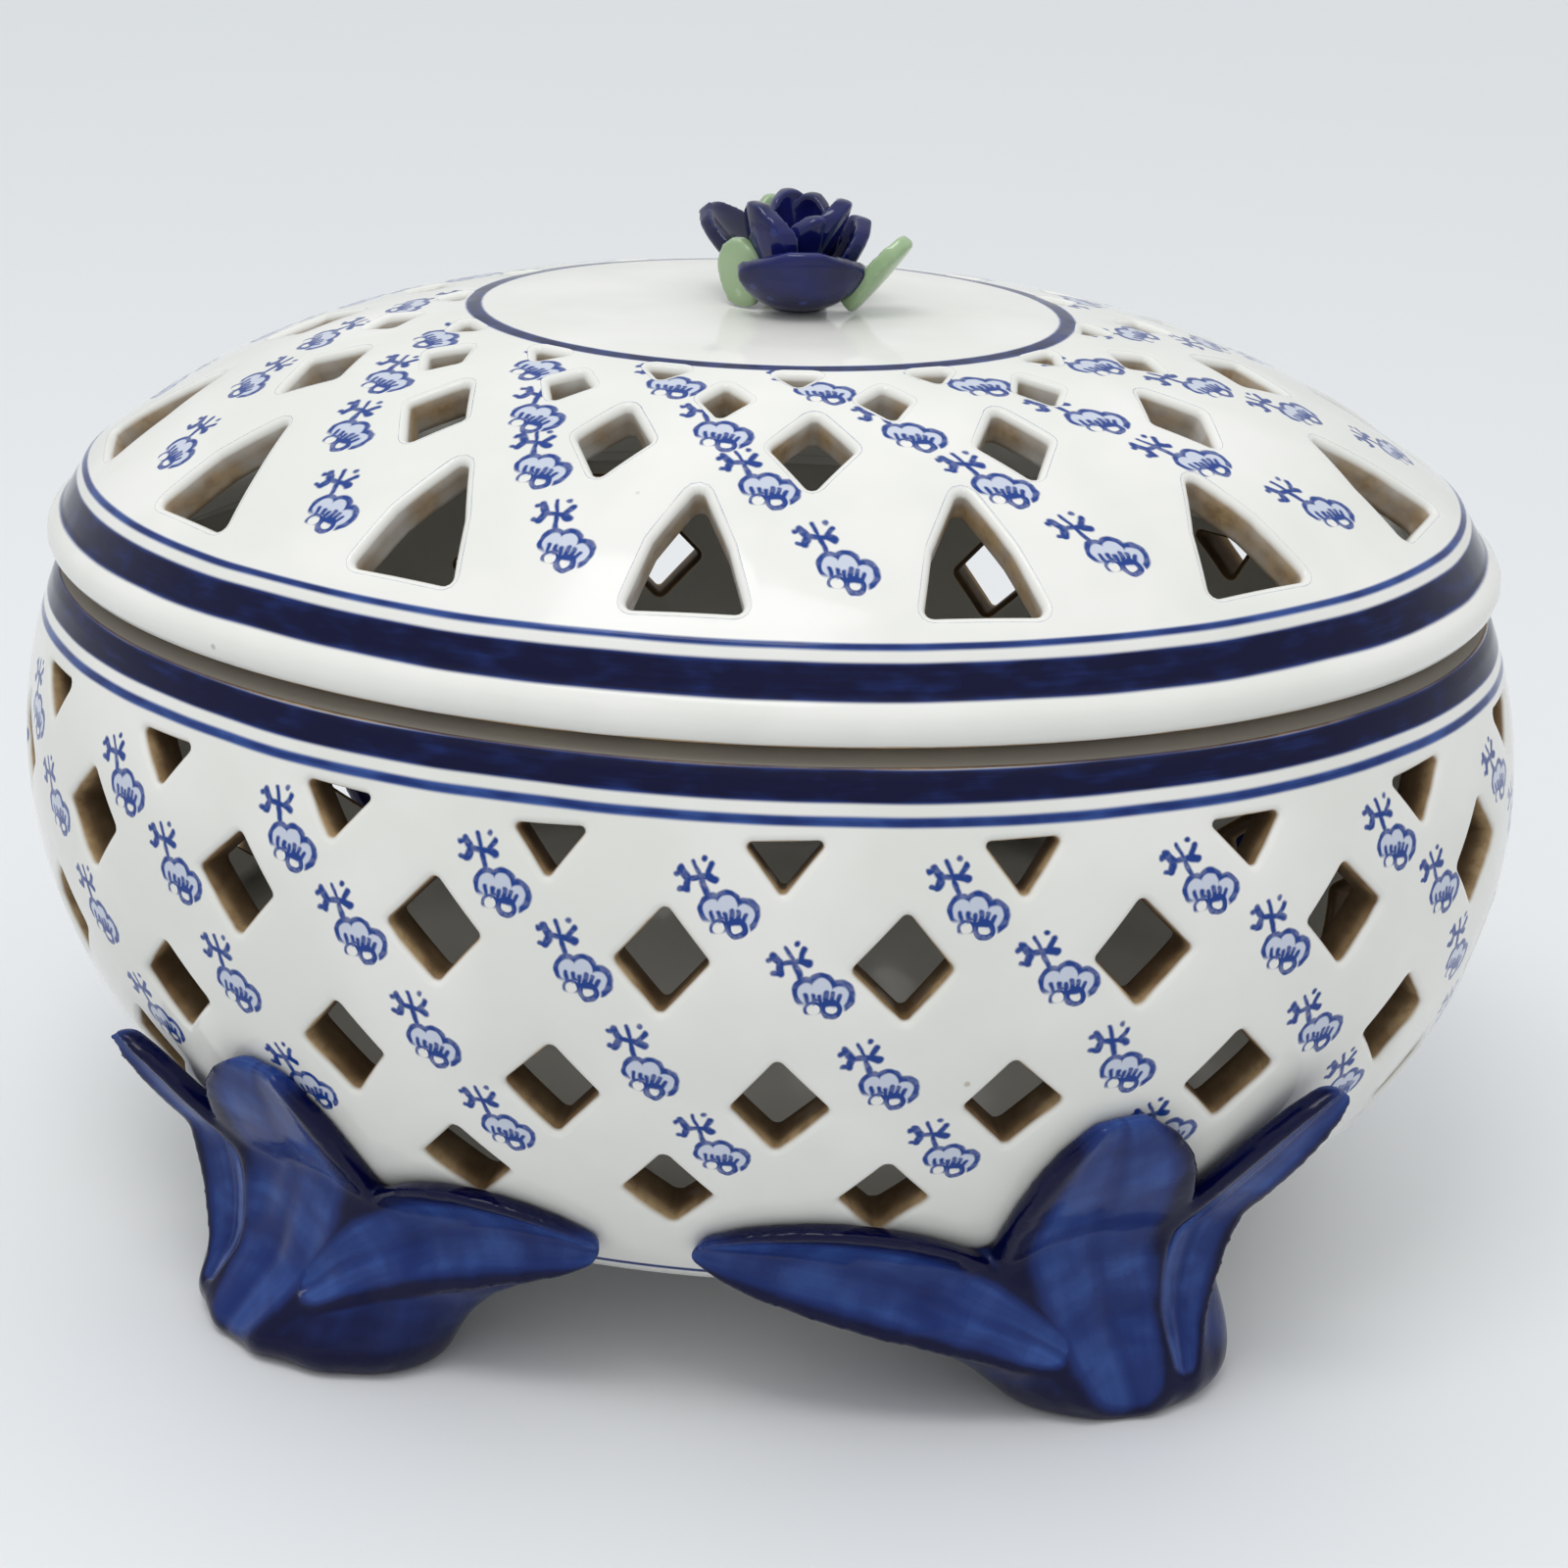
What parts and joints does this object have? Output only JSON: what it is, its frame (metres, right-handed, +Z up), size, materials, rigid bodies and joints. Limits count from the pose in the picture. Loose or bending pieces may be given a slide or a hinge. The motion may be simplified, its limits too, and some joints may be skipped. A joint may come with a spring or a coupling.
{
  "type": "potpourri vase",
  "caption": "Oval footed porcelain bowl with pierced sides and a lift-off pierced dome lid with a flower knob, for holding potpourri.",
  "frame": {"origin": "on the table, under the middle of the bowl", "axes": "+Z up, +X along the bowl's long axis to the right as seen from the front, front towards -Y"},
  "size_m": [0.2038, 0.155, 0.1414],
  "materials": {
    "porcelain": "gloss",
    "cobalt": "gloss",
    "leaf_blue": "gloss",
    "leaf_green": "gloss"
  },
  "bodies": {
    "bowl": {"bowl": "porcelain", "foot_front_left": "cobalt", "upright_leaf_front_left": "leaf_blue", "long_leaf_front_left": "leaf_blue", "end_leaf_front_left": "leaf_blue", "foot_front_right": "cobalt", "upright_leaf_front_right": "leaf_blue", "long_leaf_front_right": "leaf_blue", "end_leaf_front_right": "leaf_blue", "foot_back_left": "cobalt", "upright_leaf_back_left": "leaf_blue", "long_leaf_back_left": "leaf_blue", "end_leaf_back_left": "leaf_blue", "foot_back_right": "cobalt", "upright_leaf_back_right": "leaf_blue", "long_leaf_back_right": "leaf_blue", "end_leaf_back_right": "leaf_blue"},
    "lid": {"lid": "porcelain", "knob_core": "cobalt", "outer_petal_1": "cobalt", "outer_petal_2": "cobalt", "outer_petal_3": "cobalt", "outer_petal_4": "cobalt", "outer_petal_5": "cobalt", "inner_petal_1": "cobalt", "inner_petal_2": "cobalt", "inner_petal_3": "cobalt", "inner_petal_4": "cobalt", "green_leaf_1": "leaf_green", "green_leaf_2": "leaf_green", "green_leaf_3": "leaf_green"}
  },
  "joints": [
    {"name": "lid_lift", "type": "slide", "parent": "bowl", "child": "lid", "axis": [0, 0, 1], "range_m": [0, 0.09]}
  ]
}
